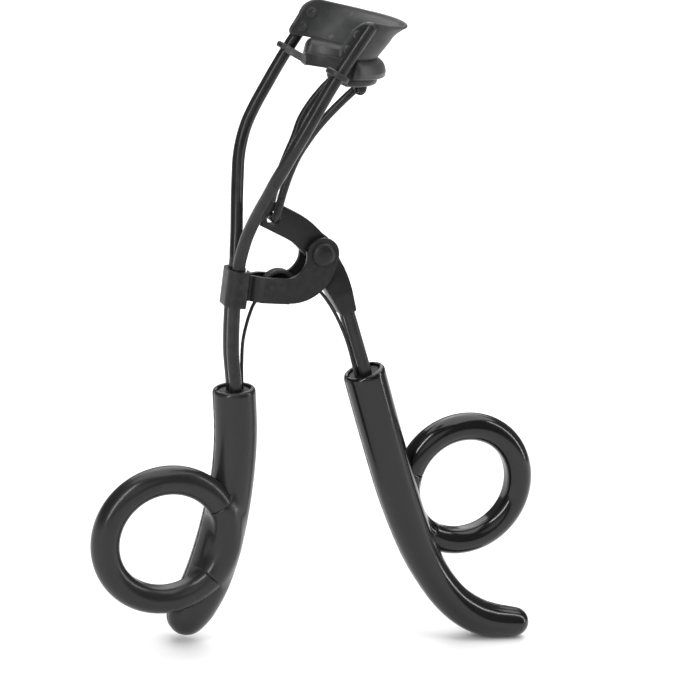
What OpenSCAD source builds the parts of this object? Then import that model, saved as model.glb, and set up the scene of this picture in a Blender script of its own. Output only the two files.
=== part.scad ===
// Eyelash curler: two frame wires carry the fixed upper jaw; a lever, through two
// push wires, slides the padded lower jaw up to it. The jaws are drawn closed.
// X runs from the thumb side to the finger side, Y along the rivet, Z up.

/* [Wires] */
// Diameter of the two frame wires and the two lever wires
frame_wire_d = 2.3; // [2:0.05:2.4]
// Diameter of the two push wires
push_wire_d = 1.5; // [1.2:0.05:1.6]
// Diameter of the return spring's wire
spring_wire_d = 0.65; // [0.5:0.05:0.8]
// Half of the distance between the frame wires at the jaws
head_half_gap = 13.8; // [13.5:0.1:14.2]

/* [Jaws] */
// How far the jaws bulge forward from the frame wires
jaw_bulge = 8.6; // [7:0.1:10]
// Height of the upper jaw's plate
upper_jaw_h = 6.1; // [5.5:0.1:6.5]
// How far the upper jaw's top lip flares out
lip_flare = 2.2; // [0.5:0.1:2.5]
// Thickness of the jaws' sheet metal
jaw_sheet = 0.8; // [0.6:0.05:1]
// Width of the silicone pad's foot, inside its trough
pad_w = 2; // [1.8:0.1:2.2]
// How far the silicone pad stands above its trough
pad_proud = 2.3; // [2:0.1:2.6]

/* [Hinge] */
// Diameter of the rivet's shaft
rivet_d = 3; // [2.4:0.1:3.4]
// Diameter of the rivet's domed heads
rivet_head_d = 4.5; // [4:0.1:5]
// Gap between the bracket's two cheeks
cheek_gap = 3.6; // [3.4:0.1:4]
// Thickness of the bracket's sheet metal
bracket_sheet = 0.8; // [0.6:0.05:1]
// Thickness of the lever's arm
lever_t = 2.4; // [2:0.1:2.6]
// Diameter of the hole in the lever's arm that the push wires hook into
link_hole_d = 2.6; // [2.4:0.05:2.8]

/* [Handles and rings] */
// Diameter of both handles at their top
handle_d = 8; // [7.4:0.1:8.4]
// Diameter of the thumb handle at its thickest
thumb_handle_mid_d = 8.9; // [8:0.1:9.4]
// Diameter of the finger handle at its thinnest
finger_handle_low_d = 6.8; // [6.4:0.1:7.4]
// Diameter of the hole in each ring
ring_hole_d = 18.2; // [17:0.1:19]
// Thickness of the rings
ring_tube_d = 5.4; // [5:0.1:6]
// Thickness of the rigid core inside each ring
ring_core_d = 3.4; // [3:0.1:3.6]
// How far each ring's middle plane is from the handles' middle plane
ring_offset = 2.8; // [2:0.1:3.2]

/* [Hidden] */

near = -1;               // the side towards -Y
far = 1;                 // the side towards +Y
fit = 0.05;              // radial clearance of a running fit
free = 0.3;              // clearance between parts that pass each other
round_fn = 48;           // circles that carry fits
wire_sides = 12;         // sides of a swept wire
handle_sides = 28;       // sides of a swept handle
e = 0.01;

black_metal = [0.17, 0.17, 0.17];
jaw_metal = [0.27, 0.28, 0.28];
thumb_black = [0.2, 0.2, 0.2];
finger_black = [0.15, 0.15, 0.16];
pad_black = [0.1, 0.1, 0.1];

frame_wire_r = frame_wire_d / 2;
push_wire_r = push_wire_d / 2;
spring_wire_r = spring_wire_d / 2;

// Frame wires: x and z in the side plane, and half the gap between the wires.
wire_touch = frame_wire_r + 0.02;
clamp_x = -24;
frame_stations = [[-9.6, 119.8, head_half_gap], [-12.75, 114, head_half_gap],
                  [-15.8, 108, head_half_gap], [-18.5, 102, head_half_gap],
                  [-19.8, 99, head_half_gap - 0.1], [-21, 96, 13.2], [-21.9, 93, 12.2],
                  [-22.6, 90, 10.6], [-23, 87, 8.7], [-23.4, 84, 6.6], [-23.7, 81, 4.6],
                  [-23.9, 78, 2.9], [clamp_x, 75, 1.8], [clamp_x, 72.5, wire_touch],
                  [clamp_x, 66, wire_touch], [-23.2, 57, wire_touch], [-21.7, 49.5, wire_touch],
                  [-20.3, 41, wire_touch]];

// Lower jaw: where it rides on the wires when closed, and its sliding direction.
slide_angle = 66.5;

// Jaw levels
trough_floor_z = 108.1;
trough_h = 2.4;
pad_gap = 0.15;
pad_top_z = trough_floor_z + trough_h + pad_proud;
upper_jaw_z = pad_top_z + pad_gap;
jaw_half_w = head_half_gap - frame_wire_r - jaw_sheet;

// Hinge
pivot = [-8.7, 0, 75.8];
link_hole = [-18.6, 0, 81.7];
sleeve_z = 65.1;
sleeve_h = 6.7;
boss_r = 3.05;
band_bottom = 66.2;
band_top = 70.9;

// Lever wires and finger handle
lever_wire_top = [-3.6, 0, 68.8];
finger_top = [3.2, 0, 53.6];
lever_wire_dir = (finger_top - lever_wire_top) / norm(finger_top - lever_wire_top);
lever_wire_tilt = atan2(lever_wire_dir.x, -lever_wire_dir.z);
plug_depth = 9;

thumb_top = [-21.7, 0, 49.5];
thumb_stations = [[-21.7, 49.5], [-20.3, 41], [-19.8, 33], [-20.2, 25], [-21, 18],
                  [-22.3, 12], [-24, 7.4], [-25.3, 4.9]];
finger_stations = [[3.2, 53.6], [8, 42.4], [13.6, 29.8], [19.2, 19.2], [23.9, 12.5],
                   [28.2, 8], [32.5, 5.1], [37, 3.5], [42.6, 3]];

thumb_ring_at = [-31.9, near * ring_offset, 20.8];
finger_ring_at = [28.2, far * ring_offset, 30.6];
ring_hole_r = ring_hole_d / 2;
ring_mid_r = ring_hole_r + ring_tube_d / 2 - 0.2;
thumb_sleeve_gap = 74;   // angle that the sleeve leaves open at the handle
finger_sleeve_gap = 74;

// ---- curve functions ----

function unit(v) = v / norm(v);
function bend(a, b, c, d, t) =
    0.5 * (2 * b + (c - a) * t + (2 * a - 5 * b + 4 * c - d) * t * t
           + (3 * b - a - 3 * c + d) * t * t * t);
function at(p, i) = p[max(0, min(len(p) - 1, i))];
// a smooth curve through the points p, with n steps between neighbours
function smooth(p, n) =
    concat([for (i = [0 : len(p) - 2], k = [0 : n - 1])
               bend(at(p, i - 1), p[i], p[i + 1], at(p, i + 2), k / n)],
           [p[len(p) - 1]]);
function tangent(p, i) = unit(at(p, i + 1) - at(p, i - 1));
function square_to(n, t) = unit(n - (n * t) * t);
// a normal at each point that turns no more than the curve does
function normals(p, n, i = 0) =
    i == len(p) ? [] :
    let (m = square_to(n, tangent(p, i))) concat([m], normals(p, m, i + 1));
// a corner at b rounded to radius r, as points on its arc
function corner(a, b, c, r, n) =
    let (u = unit(a - b), v = unit(c - b), half = acos(max(-1, min(1, u * v))) / 2,
         reach = r / tan(half), mid = b + unit(u + v) * r / sin(half),
         p = b + u * reach - mid, w = unit(cross(cross(p, b + v * reach - mid), p)) * r)
    [for (k = [0 : n]) let (s = (180 - 2 * half) * k / n) mid + p * cos(s) + w * sin(s)];

// a solid of m rings with k points each
module skin(points, m, k) {
    polyhedron(points = points, convexity = 6, faces = concat(
        [[for (j = [k - 1 : -1 : 0]) j]],
        [for (i = [0 : m - 2], j = [0 : k - 1])
            each [[i * k + j, i * k + (j + 1) % k, (i + 1) * k + j],
                  [i * k + (j + 1) % k, (i + 1) * k + (j + 1) % k, (i + 1) * k + j]]],
        [[for (j = [0 : k - 1]) (m - 1) * k + j]]));
}

// a round bar along the points p
module tube(p, r, sides, first = [0, 1, 0]) {
    n = normals(p, first);
    skin([for (i = [0 : len(p) - 1], j = [0 : sides - 1])
             let (a = -360 * j / sides, b = cross(tangent(p, i), n[i]))
             p[i] + r * (cos(a) * n[i] + sin(a) * b)], len(p), sides);
}

// ---- wires ----

module frame_wire(side) {
    line = [for (s = frame_stations) [s.x, side * s[2], s[1]]];
    color(black_metal) tube(smooth(line, 3), frame_wire_r, wire_sides);
}

module lever_wire(side) {
    length = norm(finger_top - lever_wire_top) + plug_depth;
    color(black_metal)
        translate(lever_wire_top + [0, side * wire_touch, 0])
            rotate([0, 180 - lever_wire_tilt, 0])
                cylinder(r = frame_wire_r, h = length, $fn = round_fn);
}

// Push wires: hooked out through the lower jaw's tabs and into the lever's hole.
tab_hole = [-7.8, 0, 107.2];
tab_y = 7;
tab_t = 0.9;
push_in = tab_y - tab_t / 2 - push_wire_r - 0.2;
push_out = tab_y + tab_t / 2 + 0.5;
push_stations = [[-9.8, 105, 5.5], [-12.1, 102, 5], [-13.9, 99, 4.2], [-15.1, 96, 3],
                 [-16.2, 93.2, 2.4], [-17.2, 89.8, 2.25], [-17.9, 86.4, 2.2]];
hook_y = lever_t / 2 + push_wire_r + 0.25;
hook_r = push_wire_r + 0.1;

module push_wire(side) {
    run = smooth([for (q = push_stations) [q.x, side * q[2], q[1]]], 2);
    line = concat([[tab_hole.x, side * push_out, tab_hole.z]],
                  corner([tab_hole.x, side * push_out, tab_hole.z],
                         [tab_hole.x, side * push_in, tab_hole.z], run[0], hook_r, 4),
                  run,
                  corner(run[len(run) - 1], [link_hole.x, side * hook_y, link_hole.z],
                         [link_hole.x, side * 0.1, link_hole.z], hook_r, 4),
                  [[link_hole.x, side * 0.1, link_hole.z]]);
    color(black_metal) tube(line, push_wire_r, wire_sides, [0, 0, 1]);
}

// ---- jaws ----

// x of the frame wires' line at height z, near the jaws
function wire_x(z) = -15.2 + (z - 109.2) * (15.2 - 9.6) / (119.8 - 109.2);
// a point of the jaws' arc: angle a, depth d outside the middle line, height z
function jaw_point(a, d, z, base, half_w) =
    [base + (jaw_bulge + d) * cos(a), (half_w + d) * sin(a), z];

jaw_steps = 36;
jaw_near_span = 103;     // the plate's arc ends at these angles, past each wire
jaw_far_span = 110;
jaw_rise = 0.9;          // the plate is this much higher at its ends
jaw_corner_r = 2.4;
jaw_dip = 0.6;
trough_span = 84;

function plate_top(a) =
    let (arc = PI / 180 * jaw_bulge * (a < 0 ? jaw_near_span + a : jaw_far_span - a),
         gap = max(0, jaw_corner_r - arc))
    upper_jaw_h + jaw_rise * pow(max(0, (abs(a) - 40) / 57), 1.3)
    - (jaw_corner_r - sqrt(jaw_corner_r * jaw_corner_r - gap * gap));
// how far the jaws' meeting line dips at angle a
function dip(a) = jaw_dip * max(0, cos(a));
// how far the plate leans out at the share t of its height, at angle a
function flare(t, a) =
    lip_flare * (0.22 * min(1, 2 * t) + 0.78 * pow(max(0, (t - 0.62) / 0.38), 1.8))
    * (1 - pow(abs(sin(a)), 6));

module upper_jaw() {
    levels = [0, 0.25, 0.5, 0.7, 0.82, 0.92, 1];
    n = len(levels);
    section = [for (i = [0 : 2 * n - 1]) i < n ? [jaw_sheet, levels[i]] : [0, levels[2 * n - 1 - i]]];
    color(jaw_metal) skin([for (i = [0 : jaw_steps], q = section)
        let (a = -jaw_near_span + (jaw_near_span + jaw_far_span) * i / jaw_steps,
             z = upper_jaw_z + plate_top(a) * q[1] - dip(a) * (1 - q[1]))
        jaw_point(a, q[0] + flare(q[1], a), z, wire_x(z), jaw_half_w)], jaw_steps + 1, 2 * n);
}

// four rivets hold the plate's ends to the flattened wires
module jaw_rivets() {
    heights = [1.7, 4.4];
    back = 0.85;
    proud = 0.25;
    color(jaw_metal)
        for (side = [near, far], z = heights)
            translate([wire_x(upper_jaw_z + z) - back, side * (jaw_half_w + jaw_sheet / 2),
                       upper_jaw_z + z])
                rotate([90, 0, 0])
                    cylinder(r = 0.9, h = jaw_sheet + 2 * proud, center = true, $fn = round_fn);
}

trough_base = wire_x(upper_jaw_z) - 0.2;
trough_half_w = jaw_half_w - 1;
trough_w = pad_w + 2 * jaw_sheet;
outer_wall_h = 1.35;     // the trough's outer wall is lower than its inner one
pad_mid = -0.1;

// the plan of a wall that follows the jaws' arc, from depth d0 to depth d1
module trough_plan(d0, d1, span = trough_span) {
    angles = [for (i = [0 : jaw_steps]) span * (2 * i / jaw_steps - 1)];
    function plan(a, d) =
        let (q = jaw_point(a, d, 0, trough_base, trough_half_w)) [q.x, q.y];
    polygon(concat([for (a = angles) plan(a, d1)],
                   [for (i = [jaw_steps : -1 : 0]) plan(angles[i], d0)]));
}

module lower_jaw() {
    d1 = pad_mid + trough_w / 2;
    d0 = pad_mid - trough_w / 2;
    t = jaw_sheet;
    color(black_metal) {
        difference() {
            translate([0, 0, trough_floor_z])
                linear_extrude(height = trough_h) trough_plan(d0, d1);
            translate([0, 0, trough_floor_z + t])
                linear_extrude(height = trough_h) trough_plan(d0 + t, d1 - t, trough_span + 2);
            translate([0, 0, trough_floor_z + outer_wall_h])
                linear_extrude(height = trough_h) trough_plan(d0 + 2 * t, d1 + 1, trough_span + 2);
        }
        for (side = [near, far]) {
            ear(side);
            tab(side, trough_floor_z);
        }
    }
}

// an eyelet at each end of the trough, square to the frame wire that passes through it,
// and the strip that joins them
module ear(side) {
    hole_r = frame_wire_r + free + 0.05;
    middle = [-14.72, 0, 110.2];
    ear_t = 1.1;
    plate = [4.1, 4.25];
    plate_at = [-2.2, 11.65];
    strip_h = 1.4;
    strip = [[-1.2, 11.7], [2.4, 8.95], [2.4, 9.4], [-0.7, 12.2]];
    translate(middle) rotate([0, 90 - slide_angle, 0]) difference() {
        union() {
            translate([plate_at.x, side < 0 ? -plate_at.y - plate.y : plate_at.y, -ear_t / 2])
                cube([plate.x, plate.y, ear_t]);
            translate([0, 0, ear_t / 2 - strip_h])
                linear_extrude(height = strip_h)
                    polygon([for (q = strip) [q.x, side * q.y]]);
        }
        translate([0, side * head_half_gap, 0])
            cylinder(r = hole_r, h = 8, center = true, $fn = round_fn);
    }
}

// a lug under the trough, with the hole that a push wire turns in
module tab(side, z0) {
    lug_r = 1.15;
    difference() {
        union() {
            translate([tab_hole.x, side * tab_y, tab_hole.z])
                rotate([90, 0, 0])
                    cylinder(r = lug_r, h = tab_t, center = true, $fn = round_fn);
            translate([tab_hole.x - lug_r, side * tab_y - tab_t / 2, tab_hole.z])
                cube([2 * lug_r, tab_t, z0 + 0.3 - tab_hole.z]);
        }
        translate([tab_hole.x, side * tab_y, tab_hole.z])
            rotate([90, 0, 0])
                cylinder(r = push_wire_r + fit, h = 3, center = true, $fn = round_fn);
    }
}

// a strip that fills the trough and swells out over its outer wall
module lash_pad() {
    z0 = trough_floor_z + jaw_sheet + 0.02;
    foot = pad_w / 2 - 0.02;
    lip_z = trough_floor_z + outer_wall_h + 0.1;
    top = pad_top_z;
    pad_high_z = lip_z + 0.8;
    swell = smooth([[pad_mid + foot + jaw_sheet, lip_z], [2.85, lip_z + 0.08],
                    [3, lip_z + 0.6], [2.95, lip_z + 1.3], [2.4, top - 0.6], [1.3, top],
                    [-0.2, top - 0.1], [pad_mid - foot, top - 0.9]], 2);
    section = concat([[pad_mid + foot, z0], [pad_mid + foot, lip_z]], swell, [[pad_mid - foot, z0]]);
    color(pad_black)
        skin([for (i = [0 : jaw_steps], q = section)
                 let (a = (trough_span - 1) * (2 * i / jaw_steps - 1))
                 jaw_point(a, q[0], q[1] - dip(a) * max(0, (q[1] - pad_high_z) / (top - pad_high_z)),
                           trough_base, trough_half_w)],
             jaw_steps + 1, len(section));
}

// ---- hinge ----

module along_y(h) rotate([90, 0, 0]) linear_extrude(height = h, center = true) children();

module bracket_side() {
    translate([pivot.x, pivot.z]) circle(r = boss_r, $fn = round_fn);
    translate([-26.2, sleeve_z]) square([4.2, sleeve_h]);
    difference() {
        union() {
            translate([-14.2, 74.6]) circle(r = 8.3, $fn = 96);
            translate([-22.2, band_bottom]) square([8.2, 5]);
        }
        translate([-15.4, 74.6]) circle(r = 3.7, $fn = 96);
        translate([-24, band_top]) square([8.6, 20]);
        translate([-20, 76.2]) square([20, 20]);
    }
}

// the folded sheet seen from above: round the wires, pinched, then two cheeks
module bracket_plan() {
    in_y = 2 * frame_wire_r + 0.06;
    cheek_y = cheek_gap / 2;
    pinch_y = 0.5;
    t = bracket_sheet;
    difference() {
        union() {
            translate([clamp_x, -in_y - t]) square([1.52, 2 * (in_y + t)]);
            translate([clamp_x, -in_y + 1.2]) circle(r = 1.2 + t, $fn = round_fn);
            translate([clamp_x, in_y - 1.2]) circle(r = 1.2 + t, $fn = round_fn);
            translate([clamp_x - 1.2 - t, -in_y + 1.2]) square([1.2 + t, 2 * in_y - 2.4]);
            polygon([[-22.48, -in_y - t], [-21.63, -pinch_y - t], [-21.24, -pinch_y - t],
                     [-19.24, -cheek_y - t], [0, -cheek_y - t], [0, cheek_y + t],
                     [-19.24, cheek_y + t], [-21.24, pinch_y + t], [-21.63, pinch_y + t],
                     [-22.48, in_y + t]]);
        }
        translate([clamp_x, -in_y + 1.2]) circle(r = 1.2, $fn = round_fn);
        translate([clamp_x, in_y - 1.2]) circle(r = 1.2, $fn = round_fn);
        translate([clamp_x - 1.2, -in_y + 1.2]) square([1.3, 2 * in_y - 2.4]);
        polygon([[clamp_x, -in_y], [-23, -in_y], [-22.15, -pinch_y], [-21, -pinch_y],
                 [-19, -cheek_y], [1, -cheek_y], [1, cheek_y], [-19, cheek_y],
                 [-21, pinch_y], [-22.15, pinch_y], [-23, in_y], [clamp_x, in_y]]);
    }
}

module hinge_bracket() {
    color(black_metal) difference() {
        intersection() {
            along_y(20) bracket_side();
            translate([0, 0, 60]) linear_extrude(height = 24) bracket_plan();
        }
        translate(pivot) rotate([90, 0, 0])
            cylinder(r = rivet_d / 2, h = 20, center = true, $fn = round_fn);
    }
}

module pivot_rivet() {
    out = cheek_gap / 2 + bracket_sheet;
    dome = 1.1;
    dome_r = (pow(rivet_head_d / 2, 2) + dome * dome) / (2 * dome);
    color(black_metal) translate(pivot) rotate([90, 0, 0]) {
        cylinder(r = rivet_d / 2, h = 2 * out, center = true, $fn = round_fn);
        for (turn = [0, 180])
            rotate([turn, 0, 0])
                translate([0, 0, out])
                    intersection() {
                        translate([0, 0, dome - dome_r]) sphere(r = dome_r, $fn = round_fn);
                        cylinder(r = rivet_head_d / 2, h = dome + 1, $fn = round_fn);
                    }
    }
}

// a flat arm of width w(i) along the points p
function ribbon(p, w) =
    let (n = len(p))
    concat([for (i = [0 : n - 1]) let (t = tangent(p, i)) p[i] + w[i] / 2 * [-t.y, t.x]],
           [for (i = [n - 1 : -1 : 0]) let (t = tangent(p, i)) p[i] - w[i] / 2 * [-t.y, t.x]]);

arm_reach = 14;          // from the rivet to the arm's end, which passes between the frame wires
grip_y = 5;              // thickness of the lever's lower end, which holds the two wires
tail = smooth([[-8.7, 75.8], [-6.9, 73.1], [-5.3, 70.9], [-4.2, 69], [-2.85, 66.5],
               [-1.95, 64.8]], 4);

function tail_w(q) = 2.9 + 2.4 * min(1, max(0, (q.y - 64.8) / 7));

module lever_side() {
    arm = smooth([[-22.2, 83.3], [-19.6, 82.3], [-17, 81.25], [-13.5, 79.75], [-11.2, 78.1],
                  [-8.7, 75.8]], 4);
    intersection() {
        polygon(ribbon(arm, [for (q = arm) 5]));
        translate([pivot.x, pivot.z]) circle(r = arm_reach, $fn = 96);
    }
    polygon(ribbon(tail, [for (q = tail) tail_w(q)]));
    translate([pivot.x, pivot.z]) circle(r = 2.6, $fn = round_fn);
}

module lever_plate() {
    grip = [for (q = tail) if (q.y < 70) q];
    color(black_metal) difference() {
        union() {
            along_y(lever_t) lever_side();
            along_y(grip_y) polygon(ribbon(grip, [for (q = grip) tail_w(q)]));
        }
        translate(pivot) rotate([90, 0, 0])
            cylinder(r = rivet_d / 2 + fit, h = 20, center = true, $fn = round_fn);
        translate(link_hole) rotate([90, 0, 0])
            cylinder(r = link_hole_d / 2, h = 20, center = true, $fn = round_fn);
        for (side = [near, far])
            translate(lever_wire_top + [0, side * wire_touch, 0])
                rotate([0, 180 - lever_wire_tilt, 0])
                    cylinder(r = frame_wire_r + 0.005, h = 20, $fn = round_fn);
    }
}

// ---- return spring ----

coil_at = [-15.7, 0, 69];
coil_r = 2.9;
coil_swing = 840;        // degrees of wire in the coil
coil_start = 180;        // where the thumb leg meets the coil
leg_in_plug = 1.8;       // how far each leg is from its plug's axis
leg_depth = 4;
thumb_dir = unit([1.4, 0, -8.5]);
thumb_leg_end = thumb_top + leg_in_plug * [-thumb_dir.z, 0, thumb_dir.x];
finger_leg_end = finger_top + leg_in_plug * [lever_wire_dir.z, 0, -lever_wire_dir.x];
thumb_leg = [[-18.8, 0, 67.3], [-19.3, 0, 65.9], [-19.9, 0, 64.4], [-20.5, 0, 61.5],
             [-20.8, 0, 58], [-20.5, 0, 54], thumb_leg_end, thumb_leg_end + leg_depth * thumb_dir];
finger_leg = [[-11.6, 0, 70.1], [-9.6, 0, 69.4], [-7.8, 0, 68.5], [-5.1, 0, 65.6],
              [-2.6, 0, 61.9], [-0.6, 0, 58.1], finger_leg_end,
              finger_leg_end + leg_depth * lever_wire_dir];
coil_length = (spring_wire_d + 0.03) * coil_swing / 360;

module return_spring() {
    steps = 28;
    coil = [for (k = [0 : steps])
                let (a = coil_start - coil_swing * k / steps)
                coil_at + [coil_r * cos(a), coil_length * (0.5 - k / steps), coil_r * sin(a)]];
    color(black_metal)
        tube(concat([for (i = [len(thumb_leg) - 1 : -1 : 0]) thumb_leg[i] + [0, coil_length / 2, 0]],
                    coil, [for (q = finger_leg) q - [0, coil_length / 2, 0]]),
             spring_wire_r, 8, [0, 1, 0]);
}

// ---- handles ----

// a bar with a rounded tip; from and to limit the section to half of a circle
module handle_bar(stations, radii, side) {
    line = smooth([for (s = stations) [s.x, 0, s.y]], 3);
    n = len(line);
    tip = line[n - 1];
    tip_dir = tangent(line, n - 1);
    tip_r = radii[len(radii) - 1];
    tip_steps = 5;
    path = concat(line, [for (k = [1 : tip_steps])
        tip + tip_dir * tip_r * sin(88 * k / tip_steps)]);
    function radius(i) =
        i >= n ? tip_r * cos(88 * (i - n + 1) / tip_steps)
               : let (u = i / (n - 1) * (len(radii) - 1), k = min(len(radii) - 2, floor(u)))
                 radii[k] + (radii[k + 1] - radii[k]) * (u - k);
    half = handle_sides / 2;
    skin([for (i = [0 : len(path) - 1], j = [0 : half])
             let (a = 180 * j / half, t = i < n ? tangent(line, i) : tip_dir, up = [-t.z, 0, t.x])
             path[i] + radius(i) * side * (cos(a) * up + [0, sin(a), 0])],
         len(path), half + 1);
}

thumb_radii = [handle_d, handle_d, handle_d, 8.6, thumb_handle_mid_d, thumb_handle_mid_d, 8.6, 7.6] / 2;
finger_radii = [handle_d, handle_d, 7.8, 7.2, finger_handle_low_d, finger_handle_low_d, 6.9, 6.8, 5.6] / 2;

// the socket in a handle's top that the plug fills
module socket(top, dir, grow = 0) {
    translate(top) rotate([0, 180 - atan2(dir.x, -dir.z), 0])
        translate([0, 0, -grow]) cylinder(r = 3 + grow, h = plug_depth + 2 * grow, $fn = round_fn);
}

module thumb_handle(side) {
    color(thumb_black) difference() {
        handle_bar(thumb_stations, thumb_radii, side);
        socket(thumb_top, thumb_dir, e);
        ring_solid(thumb_ring_at, 0, 360, ring_tube_d / 2 + e);
    }
}

module finger_handle(side) {
    color(finger_black) difference() {
        handle_bar(finger_stations, finger_radii, side);
        socket(finger_top, lever_wire_dir, e);
        ring_solid(finger_ring_at, 0, 360, ring_tube_d / 2 + e);
    }
}

// fills a handle's socket; two wires and one leg of the spring go into it
module plug(top, dir, leg, leg_y) {
    slack = 0.06;
    turn = [0, 180 - atan2(dir.x, -dir.z), 0];
    color(finger_black) difference() {
        socket(top, dir);
        for (side = [near, far])
            translate(top + [0, side * wire_touch, 0] - e * dir) rotate(turn)
                cylinder(r = frame_wire_r + slack, h = 20, center = true, $fn = round_fn);
        translate(leg + [0, leg_y, 0]) rotate(turn)
            cylinder(r = spring_wire_r + slack, h = 2 * leg_depth + 1, center = true, $fn = round_fn);
    }
}

module thumb_handle_plug() plug(thumb_top, thumb_dir, thumb_leg_end, coil_length / 2);
module finger_handle_plug() plug(finger_top, lever_wire_dir, finger_leg_end, -coil_length / 2);

// ---- rings ----

// part of a ring with its axis along Y, from angle a0 over the angle span, in the side plane
module ring_solid(at, a0, span, r, flat_inside = false) {
    translate(at) rotate([90, 0, 0]) rotate([0, 0, a0])
        rotate_extrude(angle = span, $fn = 96)
            translate([ring_mid_r, 0]) difference() {
                circle(r = r, $fn = round_fn);
                if (flat_inside)
                    translate([-2 * r - (ring_mid_r - ring_hole_r), -r]) square([2 * r, 2 * r]);
            }
}

module ring_sleeve(at, mid, gap, tone) {
    color(tone) difference() {
        ring_solid(at, mid + gap / 2, 360 - gap, ring_tube_d / 2, true);
        ring_solid(at, 0, 360, ring_core_d / 2 + e);
    }
}

module ring_core(at, mid, gap, tone) {
    color(tone) {
        ring_solid(at, 0, 360, ring_core_d / 2);
        ring_solid(at, mid - gap / 2 + 0.5, gap - 1, ring_tube_d / 2, true);
    }
}

frame_wire(near);  // frame_wire_near
frame_wire(far);  // frame_wire_far
upper_jaw();
jaw_rivets();
hinge_bracket();
pivot_rivet();
return_spring();
thumb_handle(near);  // thumb_handle_front
thumb_handle(far);  // thumb_handle_rear
thumb_handle_plug();
ring_core(thumb_ring_at, 0, thumb_sleeve_gap, thumb_black);  // thumb_ring_core
ring_sleeve(thumb_ring_at, 0, thumb_sleeve_gap, thumb_black);  // thumb_ring_sleeve
lever_plate();
lever_wire(near);  // lever_wire_near
lever_wire(far);  // lever_wire_far
finger_handle(near);  // finger_handle_front
finger_handle(far);  // finger_handle_rear
finger_handle_plug();
ring_core(finger_ring_at, 205, finger_sleeve_gap, finger_black);  // finger_ring_core
ring_sleeve(finger_ring_at, 205, finger_sleeve_gap, finger_black);  // finger_ring_sleeve
lower_jaw();
lash_pad();
push_wire(near);  // push_wire_near
push_wire(far);  // push_wire_far
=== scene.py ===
"""Eyelash curler: the looks of every piece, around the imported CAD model.

Lengths are in millimetres until a mesh is made. X runs from the thumb side to the finger
side, Y away from the viewer along the hinge's rivet, and Z up. The jaws are closed.
"""
import math

import bmesh
import bpy
import numpy as np
from mathutils import Matrix, Vector


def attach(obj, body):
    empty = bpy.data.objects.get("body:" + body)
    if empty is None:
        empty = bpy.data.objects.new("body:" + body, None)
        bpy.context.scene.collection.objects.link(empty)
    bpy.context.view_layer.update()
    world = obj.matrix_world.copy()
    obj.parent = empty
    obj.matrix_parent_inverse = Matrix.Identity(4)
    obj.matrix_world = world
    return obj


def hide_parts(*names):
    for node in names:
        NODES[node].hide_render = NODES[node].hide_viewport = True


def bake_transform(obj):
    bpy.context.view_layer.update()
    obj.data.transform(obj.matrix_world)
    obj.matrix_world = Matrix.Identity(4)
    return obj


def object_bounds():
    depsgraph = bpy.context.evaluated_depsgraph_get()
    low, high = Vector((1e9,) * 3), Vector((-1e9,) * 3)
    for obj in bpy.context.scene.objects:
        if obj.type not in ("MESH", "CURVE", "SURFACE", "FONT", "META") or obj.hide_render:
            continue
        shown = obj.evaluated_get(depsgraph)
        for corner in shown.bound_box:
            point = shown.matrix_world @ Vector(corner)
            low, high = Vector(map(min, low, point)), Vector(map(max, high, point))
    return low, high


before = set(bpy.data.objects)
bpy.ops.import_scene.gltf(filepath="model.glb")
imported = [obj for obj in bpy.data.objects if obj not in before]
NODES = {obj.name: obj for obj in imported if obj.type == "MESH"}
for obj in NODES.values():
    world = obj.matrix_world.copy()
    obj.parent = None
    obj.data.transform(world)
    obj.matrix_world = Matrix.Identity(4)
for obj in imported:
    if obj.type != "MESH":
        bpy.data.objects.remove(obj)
CAD_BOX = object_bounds()
MM = 0.001
NEAR, FAR = -1, 1

# ---------------------------------------------------------------- sizes repeated from the CAD
FRAME_WIRE_R = 1.15
PUSH_WIRE_R = 0.75
SPRING_WIRE_R = 0.325
HEAD_HALF_GAP = 13.8
WIRE_TOUCH = FRAME_WIRE_R + 0.02
CLAMP_X = -24.0
FRAME_STATIONS = [
    (-9.6, 119.8, 13.8), (-12.75, 114, 13.8), (-15.8, 108, 13.8), (-18.5, 102, 13.8),
    (-19.8, 99, 13.7), (-21, 96, 13.2), (-21.9, 93, 12.2), (-22.6, 90, 10.6), (-23, 87, 8.7),
    (-23.4, 84, 6.6), (-23.7, 81, 4.6), (-23.9, 78, 2.9), (CLAMP_X, 75, 1.8),
    (CLAMP_X, 72.5, WIRE_TOUCH), (CLAMP_X, 66, WIRE_TOUCH), (-23.2, 57, WIRE_TOUCH),
    (-21.7, 49.5, WIRE_TOUCH), (-20.3, 41, WIRE_TOUCH)]
PUSH_STATIONS = [
    (-9.8, 105, 5.5), (-12.1, 102, 5), (-13.9, 99, 4.2), (-15.1, 96, 3), (-16.2, 93.2, 2.4),
    (-17.2, 89.8, 2.25), (-17.9, 86.4, 2.2)]
TAB_HOLE = (-7.8, 0, 107.2)
TAB_Y, TAB_T = 7.0, 0.9
LINK_HOLE = (-18.6, 0, 81.7)
LEVER_T = 2.4
PIVOT = (-8.7, 0, 75.8)

JAW_BULGE, JAW_SHEET = 8.6, 0.8
UPPER_JAW_Z, UPPER_JAW_H = 112.95, 6.1
LIP_FLARE, JAW_RISE, JAW_CORNER_R = 2.2, 0.9, 2.4
JAW_FOOT_R = 1.8  # the plate's lower end corners, which the CAD leaves square
JAW_HALF_W = HEAD_HALF_GAP - FRAME_WIRE_R - JAW_SHEET
JAW_NEAR_SPAN, JAW_FAR_SPAN, TROUGH_SPAN = 103.0, 110.0, 84.0
JAW_DIP = 0.6
TROUGH_Z, TROUGH_H, OUTER_WALL_H = 108.1, 2.4, 1.35
PAD_W, PAD_MID = 2.0, -0.1
TROUGH_W = PAD_W + 2 * JAW_SHEET
TROUGH_HALF_W = JAW_HALF_W - 1
SLIDE_ANGLE = 66.5

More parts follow.
